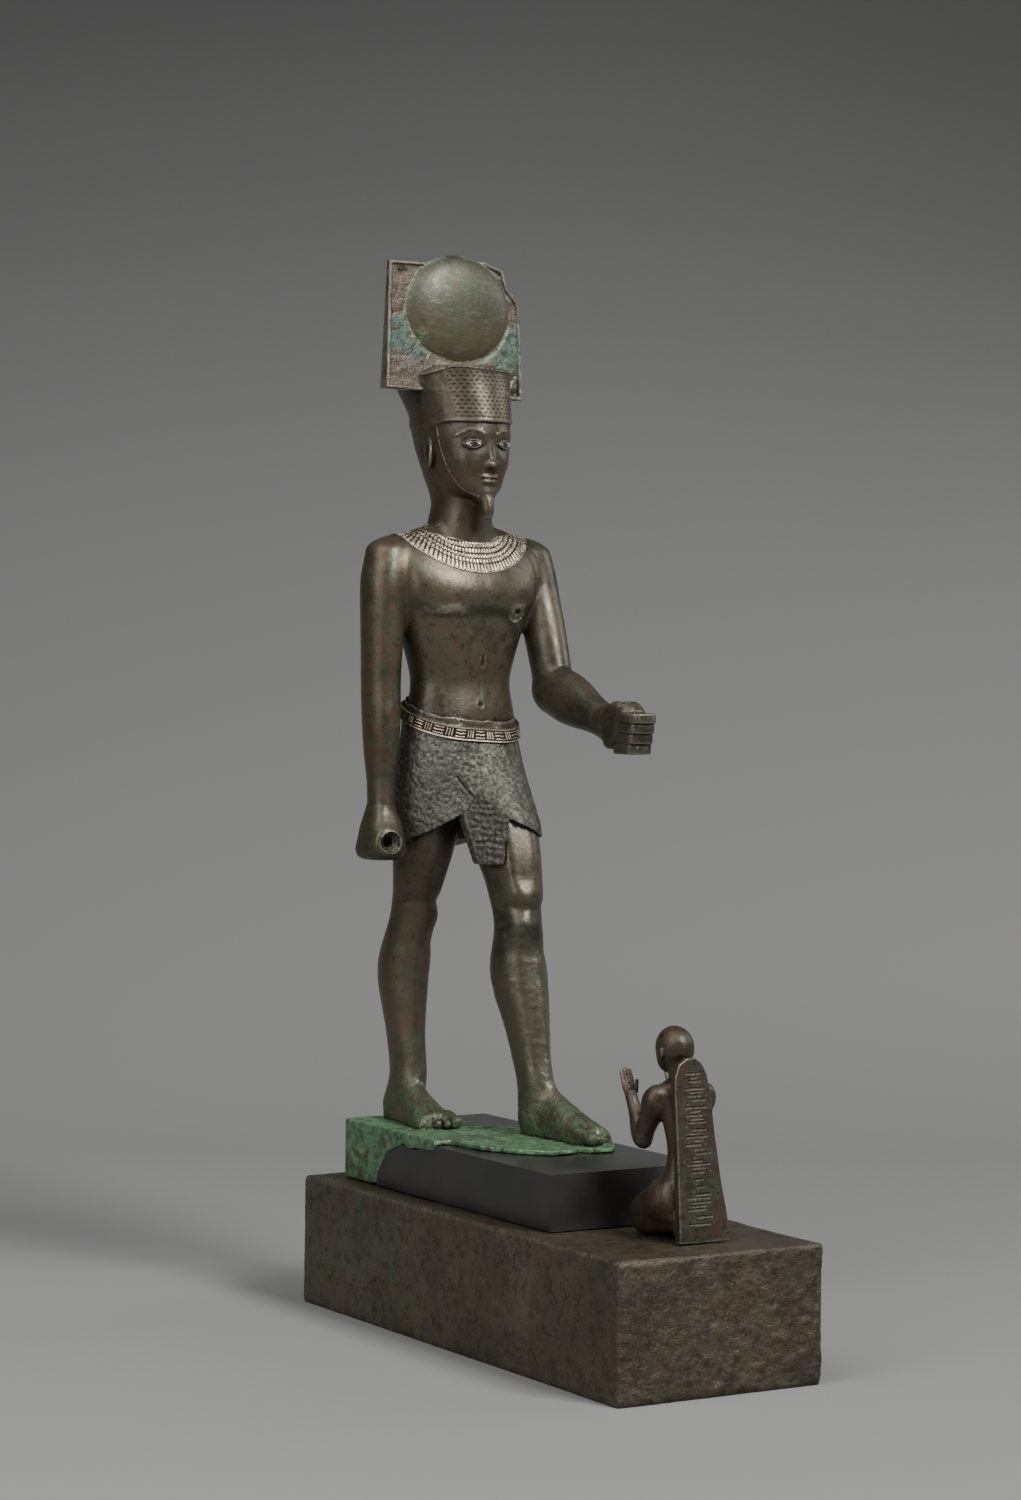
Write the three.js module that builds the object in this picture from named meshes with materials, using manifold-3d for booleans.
// A bronze group in the Egyptian manner: a striding god in a tall cap with a sun disk, and a small
// donor kneeling before him on one long plinth. The god's own cast base survives only as a thin plate
// under his feet and one corner, and a plain black block fills the rest of it.
// Millimetres. +Z is up, the god faces -Y, and +X is his left. The origin is the middle of the
// plinth's underside. The god, his base and the block are drawn about the god's upright axis, with
// heights from his soles; the donor is drawn from the middle of his slab's foot, on the plinth.
import * as THREE from "three";
import { mergeVertices } from "three/addons/utils/BufferGeometryUtils.js";
import Module from "manifold-3d";

const wasm = await Module();
wasm.setup();

// Driving dimensions
const PLINTH = { width: 106, length: 283, height: 62, corner: 3, edge: 1.6 };
const BLOCK = { half: 40, front: -151, back: 40.5, height: 25.5 };
const PLATE_THICKNESS = 2.5; // of what is left of the god's cast base
const WALL = 3.4; // thickness of that base's surviving side walls
const WORN = { corner: 4.5, edge: 1 }; // rounding of its corner and top edge
const GAP = 0.3; // between pieces that touch
const SHEET = 0.9; // thickness of the gold inlays
const GOD = { x: 0.5, y: 86, z: PLINTH.height + BLOCK.height + PLATE_THICKNESS };
const DONOR = { x: 4.6, y: -118.5, z: PLINTH.height + GAP };
const PAST = 150; // a cut that runs through a whole figure reaches this far

// Shape helpers

// A closed solid from a geometry whose shared vertices may be split.
function solid(geometry) {
  const bare = new THREE.BufferGeometry().setAttribute("position", geometry.getAttribute("position"));
  bare.setIndex(geometry.getIndex());
  const merged = mergeVertices(bare, 1e-3);
  const vertProperties = new Float32Array(merged.attributes.position.array);
  const triVerts = new Uint32Array(merged.index.array);
  return new wasm.Manifold(new wasm.Mesh({ numProp: 3, vertProperties, triVerts }));
}

const joined = (solids) => solids.reduce((whole, piece) => whole.add(piece));

// Closes a stack of rings of equal length, in order, with a fan at each end.
function stack(rings) {
  const sides = rings[0].length;
  const middle = (ring) => ring.reduce((sum, p) => sum.add(p), new THREE.Vector3()).divideScalar(sides);
  const points = [...rings.flat(), middle(rings[0]), middle(rings[rings.length - 1])];
  const foot = points.length - 2;
  const index = [];
  rings.slice(1).forEach((_, r) => {
    for (let s = 0; s < sides; s += 1) {
      const [a, b] = [r * sides + s, r * sides + ((s + 1) % sides)];
      index.push(a, b, b + sides, a, b + sides, a + sides);
    }
  });
  for (let s = 0; s < sides; s += 1) {
    const [a, b] = [s, (s + 1) % sides];
    const last = (rings.length - 1) * sides;
    index.push(foot, b, a, foot + 1, last + a, last + b);
  }
  const geometry = new THREE.BufferGeometry().setFromPoints(points);
  geometry.setIndex(index);
  return geometry;
}

const bend = (value, power) => Math.sign(value) * Math.abs(value) ** (2 / power);

// A rounded column of level sections. Each station is
// [height, middle x, middle y, half width, half depth in front, half depth behind].
function column(stations, { sides = 12, grow = 0, power = 2, place } = {}) {
  const rings = stations.map(([height, x, y, half, front, behind], level) => {
    const end = level === 0 ? -grow : level === stations.length - 1 ? grow : 0;
    return Array.from({ length: sides }, (_, s) => {
      const angle = (2 * Math.PI * (s + 0.5)) / sides;
      const depth = (Math.sin(angle) < 0 ? front : behind) + grow;
      const across = (half + grow) * bend(Math.cos(angle), power);
      return new THREE.Vector3(x + across, y + depth * bend(Math.sin(angle), power), height + end);
    });
  });
  const geometry = stack(rings);
  if (place) geometry.applyMatrix4(place);
  return solid(geometry);
}

// The matrix that stands a column's height along a direction, with its front facing another.
function along(from, to, front) {
  const up = new THREE.Vector3(...to).sub(new THREE.Vector3(...from)).normalize();
  const back = new THREE.Vector3(...front).negate();
  back.addScaledVector(up, -back.dot(up)).normalize();
  const side = new THREE.Vector3().crossVectors(back, up);
  return new THREE.Matrix4().makeBasis(side, back, up).setPosition(...from);
}

function ball(middle, halves, { around = 12, levels = 8, turn = 0 } = {}) {
  const geometry = new THREE.SphereGeometry(1, around, levels);
  geometry.rotateX(Math.PI / 2);
  geometry.scale(...halves);
  geometry.rotateX(THREE.MathUtils.degToRad(turn));
  geometry.translate(...middle);
  return solid(geometry);
}

// A cylinder between two points.
function rod(from, to, radius, sides = 14) {
  const [a, b] = [new THREE.Vector3(...from), new THREE.Vector3(...to)];
  const geometry = new THREE.CylinderGeometry(radius, radius, a.distanceTo(b), sides);
  geometry.rotateX(Math.PI / 2);
  geometry.lookAt(b.clone().sub(a));
  geometry.translate(...a.add(b).divideScalar(2).toArray());
  return solid(geometry);
}

// An outline in the plane of two axes, "xy", "xz" or "yz", made solid between two values of the third.
function slab(outline, plane, low, high) {
  const shape = new THREE.Shape(outline.map(([u, v]) => new THREE.Vector2(u, v)));
  const geometry = new THREE.ExtrudeGeometry(shape, { depth: high - low, bevelEnabled: false });
  geometry.translate(0, 0, plane === "xz" ? -high : low);
  if (plane === "xz") geometry.rotateX(Math.PI / 2);
  if (plane === "yz") geometry.rotateX(Math.PI / 2).rotateZ(Math.PI / 2);
  return solid(geometry);
}

function box(low, high) {
  const size = high.map((value, i) => value - low[i]);
  const geometry = new THREE.BoxGeometry(...size);
  geometry.translate(...low.map((value, i) => value + size[i] / 2));
  return solid(geometry);
}

// Moves every edge of an outline outwards by a distance; the outline runs anticlockwise.
function widened(outline, distance) {
  const normal = ([au, av], [bu, bv]) => {
    const run = Math.hypot(bu - au, bv - av);
    return [(bv - av) / run, (au - bu) / run];
  };
  return outline.map((point, i) => {
    const before = normal(outline[(i + outline.length - 1) % outline.length], point);
    const after = normal(point, outline[(i + 1) % outline.length]);
    const reach = distance / (1 + before[0] * after[0] + before[1] * after[1]);
    return [point[0] + (before[0] + after[0]) * reach, point[1] + (before[1] + after[1]) * reach];
  });
}

// Plinth and mount block

// A block with rounded upright corners and softened level edges.
function softBlock([left, front, bottom], [right, back, top], corner, edge) {
  const centres = [
    [right - corner, back - corner],
    [left + corner, back - corner],
    [left + corner, front + corner],
    [right - corner, front + corner],
  ];
  const ring = (height, inset) =>
    centres.flatMap(([x, y], quarter) =>
      [0, 45, 90].map((step) => {
        const angle = THREE.MathUtils.degToRad(quarter * 90 + step);
        const reach = corner - inset;
        return new THREE.Vector3(x + reach * Math.cos(angle), y + reach * Math.sin(angle), height);
      }),
    );
  const chamfer = [
    [0, edge],
    [edge * 0.3, edge * 0.3],
    [edge, 0],
  ];
  const lower = chamfer.map(([rise, inset]) => ring(bottom + rise, inset));
  const upper = chamfer.map(([rise, inset]) => ring(top - rise, inset)).reverse();
  return solid(stack([...lower, ...upper]));
}

function plinth() {
  const { width, length, height, corner, edge } = PLINTH;
  return softBlock([-width / 2, -length / 2, 0], [width / 2, length / 2, height], corner, edge);
}

// What is left of the god's cast base: outlines of the plate (from above), of the side wall (seen from
// the god's right) and of the end wall (seen from behind), each with its broken edge.
const PLATE_OUTLINE = [
  [-40, 40.5], [-40, -48], [-32, -50], [-29.5, -73], [-20.5, -91], [-9.5, -103], [1.5, -103], [7.5, -99],
  [12.5, -105], [20.5, -106], [28.5, -96], [32.5, -82], [28.5, -64], [23.5, -46], [19.5, -29], [10.5, -11],
  [8.5, 0], [11.5, 14], [7.5, 31], [3.5, 40.5],
];
const SIDE_WALL_OUTLINE = [
  [40.5, -27.5], [40.5, -1.5], [-50, -1.5], [-47, -5], [-36, -5.2], [-26, -6.6], [-18, -5.2], [-12, -8],
  [-4, -10.5], [2, -17], [5, -22], [7, -27.5],
];
const END_WALL_OUTLINE = [
  [-40, -27.5], [-22.5, -27.5], [-19.5, -21], [-14.5, -18], [-11.5, -11], [-3.5, -9], [2.5, -5.5],
  [3.5, -1.5], [-40, -1.5],
];

function castBaseRemains() {
  const corner = softBlock([-BLOCK.half, -PAST, -PAST], [PAST, BLOCK.back, 0], WORN.corner, WORN.edge);
  return joined([
    slab(PLATE_OUTLINE, "xy", -PLATE_THICKNESS + GAP, 0),
    slab(SIDE_WALL_OUTLINE, "yz", -BLOCK.half, -BLOCK.half + WALL),
    slab(END_WALL_OUTLINE, "xz", BLOCK.back - WALL, BLOCK.back),
  ]).intersect(corner);
}

function mountBlock() {
  const { half, front, back, height } = BLOCK;
  const top = -PLATE_THICKNESS;
  const body = box([-half, front, top - height + GAP], [half, back, top]);
  const side = slab(widened(SIDE_WALL_OUTLINE, GAP), "yz", -half - 1, -half + WALL + GAP);
  const end = slab(widened(END_WALL_OUTLINE, GAP), "xz", back - WALL - GAP, back + 1);
  return body.subtract(side).subtract(end);
}

// The god

const TRUNK_STATIONS = [
  [184, 0, 0.5, 28.6, 20.5, 20.5],
  [189, 0, 0.9, 28, 20, 20],
  [197, 0, 0, 27, 18.5, 18.5],
  [211, 0, 0, 25, 16.5, 17.5],
  [219, 0, 0, 26.3, 17.3, 17.8],
  [231, 0, 0, 30, 18.4, 19],
  [242, 0, 0, 33.8, 19.4, 20],
  [246, 0, 0, 35.4, 21.4, 20],
  [256, 0, 0, 38.5, 22, 20.5],
  [267, 0, 1, 41, 19.4, 18.5],
  [275, 0, 2, 38, 15.5, 15.5],
  [281, 0, 2, 30, 11, 12],
  [285, 0, 1.5, 19, 8, 9],
];
const NECK_STATIONS = [
  [268, 0, 3, 17, 19, 19],
  [280, 0, 2.4, 15.8, 18, 19],
  [289, 0, 1.2, 14.4, 17, 17.6],
  [296, 0, 0.4, 13.4, 16.6, 17],
  [306, 0, -1, 13.5, 16, 19],
  [316, 0, -1, 13.5, 16, 21],
];
const HEAD_STATIONS = [
  [297.8, 0, -15, 5, 6, 9],
  [299.8, 0, -11, 9, 12.5, 13],
  [303, 0, -6, 13, 19, 18],
  [307, 0, -3.6, 15.4, 22, 20.6],
  [313.5, 0, -3.6, 17.4, 23.2, 24],
  [320, 0, -3, 18.8, 24.2, 27],
  [326, 0, -2, 19.8, 25.4, 29.2],
  [335, 0, 1, 20.6, 27.6, 29.2],
];
const CAP_STATIONS = [
  [333.6, 0, 1.2, 21.7, 29.4, 29.4],
  [336, 0, 1.8, 22, 29.6, 29.6],
  [350, 0, 6.6, 24.4, 31.2, 31.5],
  [362, 0, 9, 26, 32, 32.5],
];
const NAPE_STATIONS = [
  [296, 0, 3, 10.6, 10, 13.2],
  [304, 0, 3, 14.6, 12, 15.8],
  [313, 0, 2, 17.8, 12, 20.6],
  [324, 0, 1.6, 20.4, 12, 26],
  [334, 0, 1.4, 21.7, 14, 29.2],
];
// The god's left leg strides; his right carries him.
const LEFT_LEG_STATIONS = [
  [6, 13.2, -50.5, 7.2, 6.5, 7.5],
  [14, 13, -50.5, 7.6, 8.5, 8.8],
  [22.7, 13, -50.9, 7.8, 10.2, 10.2],
  [33.4, 12.9, -48.2, 8.1, 11.2, 11.6],
  [49, 12.7, -44.1, 9.6, 12.4, 14],
  [64.5, 12.5, -39.2, 11.7, 14.6, 17.2],
  [76, 12.3, -37, 12.3, 15.4, 18.4],
  [87.8, 12, -36.7, 11.4, 14, 15.6],
  [97.5, 12, -35.2, 10.6, 12.6, 12.4],
  [102.5, 12, -34.4, 10.8, 15.2, 13],
  [108.5, 12, -33.6, 11.5, 15.2, 14.6],
  [119.5, 12, -30.5, 12.9, 16.4, 16.8],
  [126.5, 12, -27.4, 13.8, 18.2, 19],
  [150, 12, -18, 15.5, 20, 22],
];
const RIGHT_LEG_STATIONS = [
  [6, -14, 27, 7.2, 6.5, 7.5],
  [14, -14, 25, 7.8, 9.5, 9.5],
  [20, -14, 22.8, 8, 11.4, 11],
  [30, -14.2, 22.6, 8, 11.6, 11.8],
  [44.5, -14.5, 24.2, 8.8, 11.4, 12.6],
  [60, -14.7, 25.6, 10.5, 13, 15.4],
  [75.7, -14.5, 25.4, 11.6, 13.6, 16.8],
  [84.8, -14.4, 23.2, 11.2, 13.6, 15.4],
  [98.4, -14, 19.8, 10.2, 12.4, 12.2],
  [108.6, -14, 16.5, 10.6, 12.6, 12.6],
  [126, -14, 11.2, 13, 16, 16],
  [150, -14, 6, 15.5, 19, 19],
];
// The kilt follows both thighs: [height, left x, left y, half width, half depth,
// right x, right y, half width, half depth].
const KILT_STATIONS = [
  [122, 12, -28, 15, 20, -14, 13.4, 14.5, 19],
  [134, 12, -24, 15.8, 21.5, -14, 10.5, 15.3, 20],
  [146, 11.5, -18, 17.4, 23.6, -13.5, 7.5, 16.6, 21.5],
  [158, 10.5, -10.5, 18.6, 24, -12, 5, 18.2, 22],
  [172, 9, -3.5, 20.2, 23, -10, 2.5, 19.8, 22.5],
  [184, 7.5, 0, 21.6, 21.4, -7.5, 1, 21.4, 21.4],
  [197, 7.5, 0.4, 20.6, 19.8, -7.5, 0.6, 20.6, 20],
  [205, 7.5, 0, 19.6, 18.6, -7.5, 0.4, 19.6, 19.4],
];
// The hem in front, [x, height], from his right to his left, with its peak where the two laps cross.
const FRONT_HEM = [
  [-34, 133], [-27.9, 136.5], [-22.2, 140.5], [-17, 144.6], [-11.5, 149.1], [-5.5, 157.5], [0.4, 149.9],
  [3.1, 148], [10.5, 144.6], [20.8, 139.6], [34, 136],
];
const BACK_HEM = { side: 137, back: 126.5, reach: 30 }; // heights, and where it is lowest
const RIGHT_ARM_STATIONS = [
  [148, -42.4, 0.5, 6.3, 8, 7.6],
  [157, -42.4, 0.8, 6, 7.8, 7.6],
  [165, -42.4, 1, 6.2, 8.2, 8],
  [173, -42.4, 1, 7, 9.4, 9.2],
  [184, -42.4, 1, 8, 10.8, 10.4],
  [196, -42.4, 1, 8.6, 11.4, 11.2],
  [208, -42.4, 1.4, 8.8, 11, 11.4],
  [222, -42.4, 1.2, 9.2, 11.4, 11.4],
  [237, -42.2, 1, 9.8, 12.2, 11.8],
  [251, -41.8, 1, 10.4, 12.6, 12.4],
  [262, -40.8, 1.2, 11, 12.2, 12.2],
  [271, -39, 1.6, 11, 10.6, 11],
  [277.5, -36.5, 2, 9.2, 7.4, 8],
  [280.5, -34, 2, 5, 3.6, 4],
];
const LEFT_ARM_STATIONS = [
  [199, 42.6, -17, 5, 5.5, 6],
  [203, 42.6, -16.6, 8, 9.5, 10],
  [210, 42.6, -15.6, 9, 11.2, 11.6],
  [219, 42.4, -13.4, 9.2, 11.4, 11.6],
  [228, 42.2, -10.6, 9.5, 11.6, 11.8],
  [237, 42, -7.4, 9.9, 12, 12],
  [247, 41.8, -3.4, 10.3, 12.4, 12.4],
  [255, 41.6, -0.4, 10.6, 12.4, 12.4],
  [263, 40.6, 1.2, 11, 12.2, 12.2],
  [271, 39, 1.6, 11, 10.6, 11],
  [277.5, 36.5, 2, 9.2, 7.4, 8],
  [280.5, 34, 2, 5, 3.6, 4],
];
// The forearm's stations run from the elbow towards the wrist; in front is its upper side.
const LEFT_FOREARM = { elbow: [42.8, -14.5, 209], wrist: [41.6, -65.5, 193.5] };
const LEFT_FOREARM_STATIONS = [
  [-9, 0, 1.5, 5, 6, 6],
  [-5, 0, 1, 8, 9.5, 10],
  [4, 0, 0, 9.4, 11.6, 12.8],
  [16, 0, 0, 9.6, 12.6, 12.8],
  [28, 0, 0, 8.8, 11.4, 11.4],
  [40, 0, 0, 7.2, 9, 9.4],
  [50, 0, 0, 6.6, 8.2, 8.6],
  [64, 0, 0, 7, 9.6, 10],
];
// Feet run from the heel to the toes; in front is the upper side.
const FOOT_STATIONS = [
  [0, 0, 0, 3, 6, 1],
  [2.5, 0, 0, 6, 11, 2],
  [8, 0, 0, 7.6, 17, 2],
  [15, 0, 0, 8, 22, 2],
  [22, 0, 0, 8.2, 22, 2],
  [30, 0, 0, 9, 18.4, 2],
  [39, 0, 0, 9.9, 13, 2],
  [46, 0, 0, 10.3, 9.2, 2],
  [51, 0, 0, 9.4, 6.6, 2],
];
const TOES = [
  { across: -7.8, reach: 58, radius: 3 },
  { across: -3.4, reach: 56.5, radius: 2.3 },
  { across: 0.6, reach: 54.5, radius: 2.2 },
  { across: 4.4, reach: 51.5, radius: 2.1 },
  { across: 7.8, reach: 48, radius: 2 },
];
const TOE = { half: 6.4, overlap: 5 }; // half length, and how far back its middle lies
const ANKLE = 1; // height of the foot's axis
const LEFT_FOOT = { heel: [13.5, -43.5], turn: 8, outward: 1 };
const RIGHT_FOOT = { heel: [-14, 36.2], turn: 5, outward: -1 };
const RIGHT_FIST_STATIONS = [
  [127.5, -43.2, -1, 8.6, 9.6, 9],
  [129, -43.2, -1, 9.8, 11, 10.4],
  [137, -43.2, -1, 10.1, 11.4, 10.6],
  [143, -43, -0.6, 9, 10.4, 9.4],
  [149, -42.6, 0.2, 7, 8.6, 8.2],
  [154, -42.4, 0.6, 5.6, 7, 7],
];
const RIGHT_BORE = { x: -44.2, height: 135.7, radius: 2.35, ring: 5.2, ringEnds: [-13.6, 10] };
const LEFT_PALM_STATIONS = [
  [181, 43.4, -82, 6, 9, 9],
  [184, 43.4, -82, 7, 11.4, 11],
  [192, 43.4, -82, 7.2, 12, 12],
  [201, 43.2, -81.4, 7, 10.4, 11],
  [204.6, 43, -80.6, 5, 6.6, 7.6],
];
const FINGERS = {
  count: 4,
  x: 41.8,
  y: -86,
  lowest: 184, // height of the little finger's middle
  pitch: 5.9,
  shift: 0.5, // each finger lies this far behind the one below
  half: 3.2, // half a finger's height
  size: [8.4, 11.4],
};
const FINGER_ROUNDING = [[-1, 0.78], [-0.55, 1], [0.55, 1], [1, 0.78]]; // [share of half, share of size]
const LEFT_BORE = { x: 40.4, y: -84, radius: 2.6 };
const COLLAR = { y: 7, height: 290, reach: [37, 40, 38] };
const BELT = { height: 193.1, tilt: 18.2, roll: 3, width: 5.4, ridge: 3 };
const EYE = { x: 8.2, y: -24, height: 323.5, turn: 20, size: [4, 2, 1.6] };
const EAR = { x: 19.6, y: -1.5, height: 320.5, turn: -10, size: [3, 4.4, 8.4] };
// The face's middle, each form a ball: [distance forward, height, half sizes, turn].
const FACE = {
  noseTip: [26.6, 313.6, [2.9, 3.6, 2.4], 0],
  noseBridge: [25, 318.4, [1.8, 3.2, 7], -14],
  lips: [24.2, 307, [4.8, 2.8, 2.3], 0],
  chin: [20.6, 299, [4.6, 5, 4], 0],
  beardStump: [23.2, 294, [3, 3.6, 6], -8],
};
const NIPPLE = { x: 20.5, y: -21.4, height: 246.2, radius: 3.8, pit: 1.5, aim: [-4, 9.4] };
const NAVEL = { x: 1, y: -18, height: 200.5, radius: 2.2 };

function foot({ heel: [x, y], turn, outward }) {
  const angle = THREE.MathUtils.degToRad(turn) * outward;
  const [dx, dy] = [Math.sin(angle), -Math.cos(angle)];
  const place = along([x, y, ANKLE], [x + dx, y + dy, ANKLE], [0, 0, 1]);
  const pieces = [column(FOOT_STATIONS, { sides: 10, place })];
  TOES.forEach(({ across, reach, radius }) => {
    const aside = across * outward;
    const ahead = reach - TOE.overlap;
    const middle = [x + dx * ahead - dy * aside, y + dy * ahead + dx * aside, radius + 0.4];
    pieces.push(ball(middle, [radius, TOE.half, radius + 0.6], { around: 6, levels: 4 }));
  });
  return joined(pieces);
}

// The kilt's section is the outline drawn tight round both thighs' sections.
function kilt(grow = 0, sides = 24) {
  const support = (x, y, half, depth, angle) => {
    const run = Math.hypot(half * Math.cos(angle), depth * Math.sin(angle));
    const point = [x + (half * half * Math.cos(angle)) / run, y + (depth * depth * Math.sin(angle)) / run];
    return { point, reach: point[0] * Math.cos(angle) + point[1] * Math.sin(angle) };
  };
  const rings = KILT_STATIONS.map(([height, lx, ly, lw, ld, rx, ry, rw, rd]) =>
    Array.from({ length: sides }, (_, s) => {
      const angle = (2 * Math.PI * (s + 0.5)) / sides;
      const left = support(lx, ly, lw + grow, ld + grow, angle);
      const right = support(rx, ry, rw + grow, rd + grow, angle);
      const [x, y] = (left.reach > right.reach ? left : right).point;
      return new THREE.Vector3(x, y, height);
    }),
  );
  return solid(stack(rings));
}

// A slab of space parallel to the belt, from one distance above the belt's middle to another.
function beltSpace(low, high) {
  const geometry = new THREE.BoxGeometry(PAST, PAST, high - low);
  geometry.translate(0, 0, (low + high) / 2);
  geometry.rotateX(THREE.MathUtils.degToRad(BELT.tilt));
  geometry.rotateY(THREE.MathUtils.degToRad(BELT.roll));
  geometry.translate(0, 0, BELT.height);
  return solid(geometry);
}

// The kilt ends above the belt in a rough ridge. In front its hem rises to where the laps cross.
function wrappedKilt() {
  const start = FRONT_HEM[0];
  const end = FRONT_HEM[FRONT_HEM.length - 1];
  const hemLeftwards = [...FRONT_HEM].reverse();
  const belowFront = [[PAST, 0], [PAST, end[1]], ...hemLeftwards, [-PAST, start[1]], [-PAST, 0]];
  const { side, back, reach } = BACK_HEM;
  const belowBack = [[-2, 0], [PAST, 0], [PAST, back], [reach, back], [-2, side]];
  return kilt()
    .subtract(beltSpace(BELT.width / 2 + BELT.ridge, PAST / 2))
    .subtract(slab(belowFront, "xz", -PAST, -1))
    .subtract(slab(belowBack, "yz", -PAST, PAST));
}

// The pleated tab that hangs from where the laps cross. Its corners are seen from in front.
const TAB_CORNERS = [
  [-11.5, -22.6, 149.1], [-6.6, -29.9, 125.9], [1, -41.6, 125.9], [2.6, -38, 149], [-5.4, -27, 159],
];
const TAB_THICKNESS = 3;

function kiltTab() {
  const front = TAB_CORNERS.map((corner) => new THREE.Vector3(...corner));
  const inward = new THREE.Vector3(0.83, 0.56, 0).setLength(TAB_THICKNESS);
  return solid(stack([front.map((corner) => corner.clone().add(inward)), front]));
}

function rightFist() {
  const { x, height, radius, ring, ringEnds } = RIGHT_BORE;
  return column(RIGHT_FIST_STATIONS, { power: 2.7 })
    .add(rod([x, ringEnds[0], height], [x, ringEnds[1], height], ring))
    .subtract(rod([x, -PAST, height], [x, PAST, height], radius, 10));
}

// Four fingers curled round an upright bore, one above another.
function leftFist() {
  const palm = column(LEFT_PALM_STATIONS, { power: 2.6 });
  const fingers = Array.from({ length: FINGERS.count }, (_, i) => {
    const middle = FINGERS.lowest + i * FINGERS.pitch;
    const y = FINGERS.y + i * FINGERS.shift;
    const stations = FINGER_ROUNDING.map(([level, share]) => {
      const [half, depth] = FINGERS.size.map((size) => size * share);
      return [middle + level * FINGERS.half, FINGERS.x, y, half, depth, depth];
    });
    return column(stations, { sides: 8, power: 2.6 });
  });
  const { x, y, radius } = LEFT_BORE;
  const bore = rod([x, y, 0], [x, y, 2 * PAST], radius, 10);
  return joined([palm, ...fingers]).subtract(bore);
}

// The lower ends of two broken plumes, standing across the cap behind the disk. They thin upwards.
const PLUMES = {
  outline: [
    [-38.6, 350.4], [-26, 350], [-26, 347.6], [26, 346.8], [33.2, 346.4], [33.4, 391], [30, 396],
    [26.6, 400], [24.6, 408], [12, 411.5], [-8, 412], [-20, 409.8], [-37.4, 409.8],
  ],
  front: 3,
  foot: { height: 350, thickness: 6.6 },
  top: { height: 410, thickness: 2.6 },
};

// The disk's section: [share of its radius, distance in front of its back].
const DISK_PROFILE = [[0, -1], [1, -1], [1, 1.6], [0.9, 4.6], [0.7, 7.2], [0.4, 9], [0, 9.7]];
const DISK = { at: [0, 3, 388.4], size: [28, 26] };

function plumes() {
  const { outline, front, foot, top } = PLUMES;
  const shape = new THREE.Shape(outline.map(([u, v]) => new THREE.Vector2(u, v)));
  const geometry = new THREE.ExtrudeGeometry(shape, { depth: 1, bevelEnabled: false });
  geometry.translate(0, 0, -1).rotateX(Math.PI / 2);
  const position = geometry.getAttribute("position");
  for (let i = 0; i < position.count; i += 1) {
    const rise = (position.getZ(i) - foot.height) / (top.height - foot.height);
    const thickness = THREE.MathUtils.lerp(foot.thickness, top.thickness, rise);
    position.setY(i, front + position.getY(i) * thickness);
  }
  return solid(geometry);
}

function crown() {
  const cap = column(CAP_STATIONS, { sides: 22 });
  const dome = DISK_PROFILE.map(([share, forward]) => new THREE.Vector2(share, forward));
  const disk = new THREE.LatheGeometry(dome, 24);
  disk.rotateX(Math.PI).scale(DISK.size[0], 1, DISK.size[1]).translate(...DISK.at);
  return joined([cap, plumes(), solid(disk)]);
}

function head() {
  const pieces = [
    column(HEAD_STATIONS, { sides: 16, power: 2.15 }),
    column(NECK_STATIONS),
    column(NAPE_STATIONS),
  ];
  Object.values(FACE).forEach(([forward, height, halves, turn]) => {
    pieces.push(ball([0, -forward, height], halves, { around: 8, levels: 4, turn }));
  });
  [-1, 1].forEach((side) => {
    const middle = [side * EAR.x, EAR.y, EAR.height];
    pieces.push(ball(middle, EAR.size, { around: 6, levels: 6, turn: EAR.turn }));
  });
  return joined(pieces);
}

// An almond eye set into each side of the face, and the socket that holds it.
function eye(side, grow = 0) {
  const geometry = new THREE.SphereGeometry(1, 8, 4);
  geometry.scale(...EYE.size.map((half) => half + grow));
  geometry.rotateZ(THREE.MathUtils.degToRad(side * EYE.turn));
  geometry.translate(side * EYE.x, EYE.y, EYE.height);
  return solid(geometry);
}

const trunk = (grow) => column(TRUNK_STATIONS, { sides: 18, grow, power: 2.25 });

function upperBody(grow) {
  return joined([
    trunk(grow),
    column(RIGHT_ARM_STATIONS, { sides: 10, grow }),
    column(LEFT_ARM_STATIONS, { sides: 10, grow }),
  ]);
}

// The torso and arms, with the ring of his left nipple and his navel.
function torso() {
  const { x, y, height, radius, pit, aim } = NIPPLE;
  const towards = (distance) => [x + aim[0] * distance, y + aim[1] * distance, height];
  const navel = [NAVEL.radius, 2, NAVEL.radius];
  return upperBody(0)
    .add(rod(towards(0), towards(1), radius, 10))
    .subtract(rod(towards(-0.3), towards(0.25), pit, 6))
    .subtract(ball([NAVEL.x, NAVEL.y, NAVEL.height], navel, { around: 6, levels: 4 }));
}

function god() {
  const forearm = along(LEFT_FOREARM.elbow, LEFT_FOREARM.wrist, [0, 0, 1]);
  const figure = joined([
    torso(),
    head(),
    crown(),
    wrappedKilt(),
    kiltTab(),
    column(LEFT_LEG_STATIONS),
    column(RIGHT_LEG_STATIONS),
    foot(LEFT_FOOT),
    foot(RIGHT_FOOT),
    rightFist(),
    column(LEFT_FOREARM_STATIONS, { place: forearm }),
    leftFist(),
  ]);
  const belowPlate = box([-PAST, -PAST, -PAST], [PAST, PAST, -PLATE_THICKNESS + GAP]);
  return figure.subtract(belowPlate).add(castBaseRemains()).subtract(eye(-1, GAP)).subtract(eye(1, GAP));
}

function collar() {
  const within = ball([0, COLLAR.y, COLLAR.height], COLLAR.reach, { around: 20, levels: 10 });
  return upperBody(GAP + SHEET)
    .intersect(within)
    .subtract(upperBody(GAP))
    .subtract(column(NECK_STATIONS, { grow: GAP * 1.6 }));
}

function belt() {
  const hips = (grow) => kilt(grow).add(trunk(grow));
  return beltSpace(-BELT.width / 2, BELT.width / 2).intersect(hips(GAP + SHEET)).subtract(hips(GAP));
}

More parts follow.
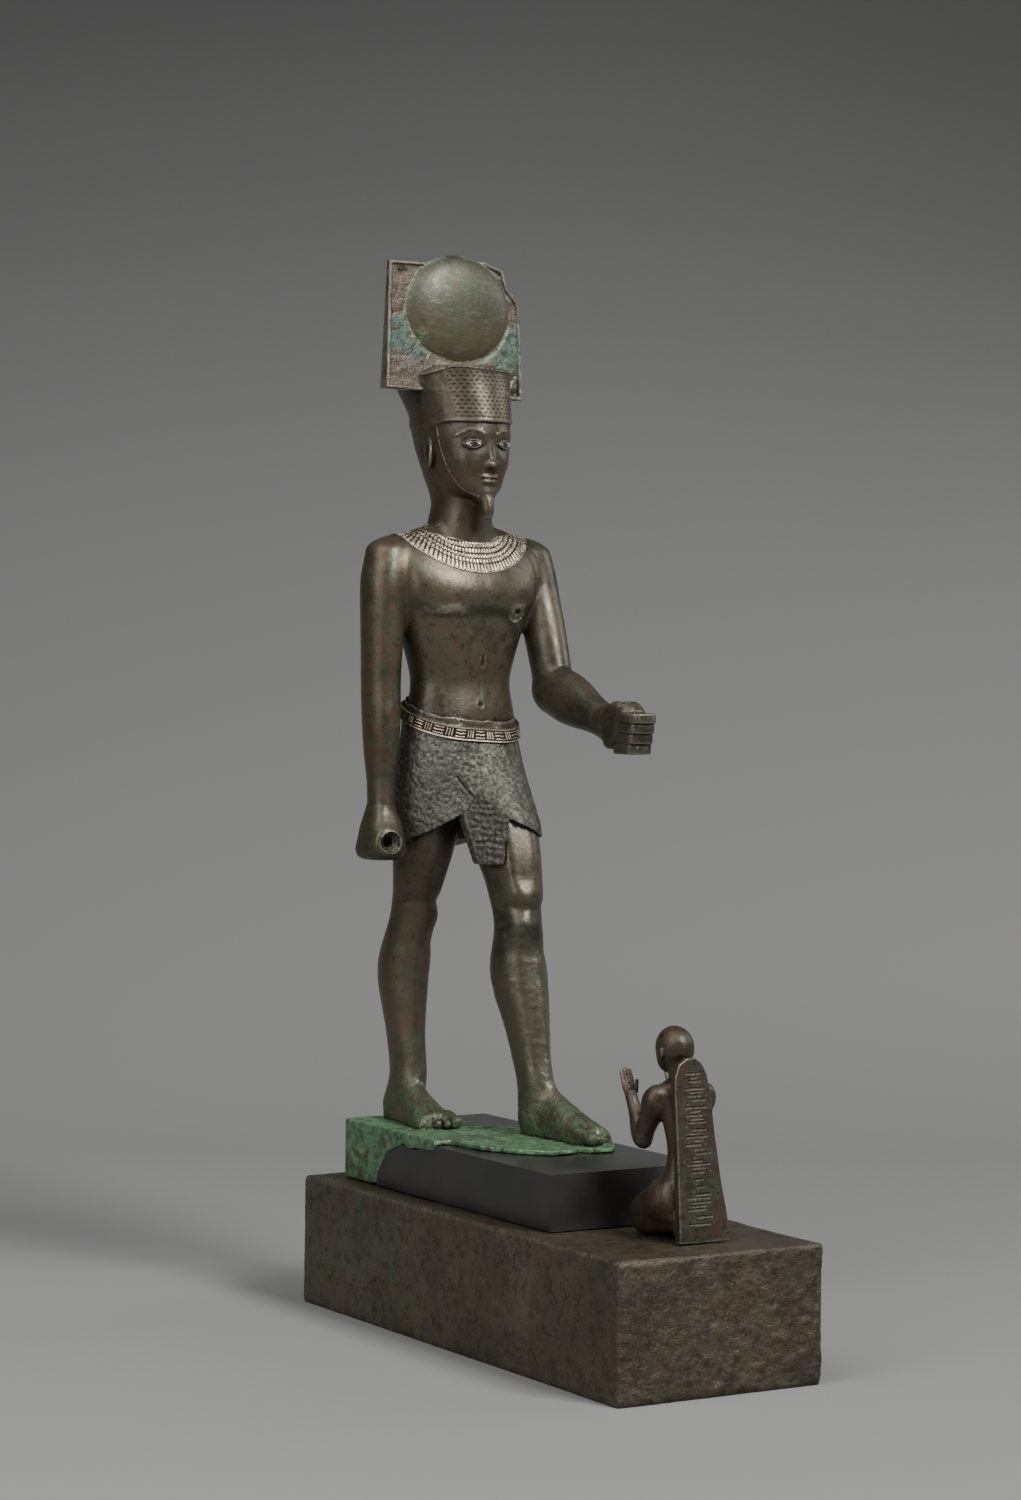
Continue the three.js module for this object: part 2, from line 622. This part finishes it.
// The donor kneels facing the god, with his hands raised and an inscribed slab down his back.

const DONOR_SLAB = { lean: -6.5, thickness: 4 };
const DONOR_SLAB_OUTLINE = [
  [-11.8, -2], [14.2, -2], [13.6, 12], [11.6, 25], [9.6, 45], [8.2, 64], [7, 72], [4.6, 77.2],
  [1.2, 79.4], [-2.2, 79.2], [-5.4, 77], [-7.8, 71.5], [-8.5, 64], [-9.4, 45], [-10.6, 22],
];
const DONOR_TORSO_STATIONS = [
  [8, 0, 12.5, 12.6, 9.4, 8.6],
  [18, 0, 13, 13, 10, 10],
  [27, 0, 13, 11.2, 8.8, 8],
  [38, 0, 13.8, 8.8, 7.6, 6.2],
  [50, 0, 15, 10.4, 7.6, 7],
  [60, 0, 16.2, 12.4, 7.4, 7],
  [66, 0, 17, 12, 5.8, 5.6],
  [69.5, 0, 17.6, 7, 4.6, 4.6],
];
const DONOR_NECK_STATIONS = [
  [62, 0, 18, 5, 5, 5],
  [76, 0, 21, 4.6, 5, 5],
];
const DONOR_SKULL = { at: [0, 23.4, 82.2], size: [8, 9.6, 9.4], turn: 18 };
const DONOR_JAW = { at: [0, 27.2, 76.6], size: [5.4, 5.8, 6.2] };
const DONOR_EAR = { at: [7.6, 22.4, 79.6], size: [1.4, 2, 3] };
const DONOR_FOOT = { at: [6.4, 7.4, 7.8], size: [4, 3.6, 7.8] }; // on its toes
const DONOR_JOINTS = {
  shoulder: [12, 18.4, 62.5],
  elbow: [13, 28, 42],
  hand: [11.6, 43, 65.4],
  hip: [6.4, 13, 18.5],
  knee: [7, 38.5, 8.4],
  shin: [7, 37.4, 5.6],
  ankle: [6.4, 7, 8],
};
// Limbs taper along their length: [distance from the joint, radius].
const UPPER_ARM = [[-4.4, 2.6], [-1, 5], [11, 4.8], [25, 3.4]];
const FOREARM = [[-3.8, 2], [0, 3.9], [8, 3.9], [16, 2.8], [20, 3.2], [25.5, 3.6], [31, 1.4]];
const THIGH = [[-5, 7], [2, 10], [14, 8.6], [25, 6.8], [30.5, 3.6]];
const SHIN = [[-4.6, 2.8], [0, 5.5], [13, 5.6], [28, 4]];

function donorSlab() {
  const turn = new THREE.Matrix4().makeRotationX(THREE.MathUtils.degToRad(DONOR_SLAB.lean));
  const shape = new THREE.Shape(DONOR_SLAB_OUTLINE.map(([u, v]) => new THREE.Vector2(u, v)));
  const geometry = new THREE.ExtrudeGeometry(shape, { depth: DONOR_SLAB.thickness, bevelEnabled: false });
  geometry.rotateX(Math.PI / 2).translate(0, DONOR_SLAB.thickness, 0).applyMatrix4(turn);
  return solid(geometry);
}

function limb(tapers, from, to, front) {
  const stations = tapers.map(([distance, radius]) => [distance, 0, 0, radius, radius, radius]);
  return column(stations, { sides: 8, place: along(from, to, front) });
}

function donor() {
  const small = { around: 6, levels: 4 };
  const pieces = [
    donorSlab(),
    column(DONOR_TORSO_STATIONS, { sides: 10 }),
    column(DONOR_NECK_STATIONS, { sides: 10 }),
    ball(DONOR_SKULL.at, DONOR_SKULL.size, { around: 10, levels: 6, turn: DONOR_SKULL.turn }),
    ball(DONOR_JAW.at, DONOR_JAW.size, { around: 8, levels: 4 }),
  ];
  [-1, 1].forEach((side) => {
    const mirrored = ([x, y, z]) => [side * x, y, z];
    const at = (joint) => mirrored(DONOR_JOINTS[joint]);
    pieces.push(
      limb(UPPER_ARM, at("shoulder"), at("elbow"), [0, -1, 0]),
      limb(FOREARM, at("elbow"), at("hand"), [0, -1, 0]),
      limb(THIGH, at("hip"), at("knee"), [0, 0, 1]),
      limb(SHIN, at("shin"), at("ankle"), [0, 0, 1]),
      ball(mirrored(DONOR_EAR.at), DONOR_EAR.size, small),
      ball(mirrored(DONOR_FOOT.at), DONOR_FOOT.size, small),
    );
  });
  return joined(pieces).subtract(box([-PAST, -PAST, -PAST], [PAST, PAST, 0]));
}

// Assembly

const MATERIALS = {
  bronze: new THREE.MeshStandardMaterial({ color: 0x2e2a25, roughness: 0.38, metalness: 0.85 }),
  brown: new THREE.MeshStandardMaterial({ color: 0x3a2d24, roughness: 0.48, metalness: 0.8 }),
  rough: new THREE.MeshStandardMaterial({ color: 0x38302a, roughness: 0.68, metalness: 0.6 }),
  black: new THREE.MeshStandardMaterial({ color: 0x1b1b1a, roughness: 0.45, metalness: 0 }),
  gold: new THREE.MeshStandardMaterial({ color: 0xa98f66, roughness: 0.4, metalness: 0.95 }),
  silver: new THREE.MeshStandardMaterial({ color: 0xbdb9ae, roughness: 0.35, metalness: 0.9 }),
};

function geometryOf(piece) {
  const mesh = piece.getMesh();
  const stride = mesh.numProp;
  const positions = new Float32Array(mesh.numVert * 3);
  for (let i = 0; i < mesh.numVert; i += 1) {
    positions.set(mesh.vertProperties.subarray(i * stride, i * stride + 3), i * 3);
  }
  const geometry = new THREE.BufferGeometry();
  geometry.setAttribute("position", new THREE.BufferAttribute(positions, 3));
  geometry.setIndex(new THREE.BufferAttribute(mesh.triVerts, 1));
  geometry.computeVertexNormals();
  return geometry;
}

function named(name, piece, material) {
  const mesh = new THREE.Mesh(geometryOf(piece), MATERIALS[material]);
  mesh.name = name;
  return mesh;
}

const aroundGod = new THREE.Group();
aroundGod.position.set(GOD.x, GOD.y, GOD.z);
aroundGod.add(
  named("mount_block", mountBlock(), "black"),
  named("god_figure", god(), "bronze"),
  named("collar_inlay", collar(), "gold"),
  named("belt_inlay", belt(), "gold"),
  named("right_eye_inlay", eye(-1), "silver"),
  named("left_eye_inlay", eye(1), "silver"),
);

const kneeling = named("donor_figure", donor(), "brown");
kneeling.position.set(DONOR.x, DONOR.y, DONOR.z);

const group = new THREE.Group();
group.add(named("plinth", plinth(), "rough"), aroundGod, kneeling);

export default group;
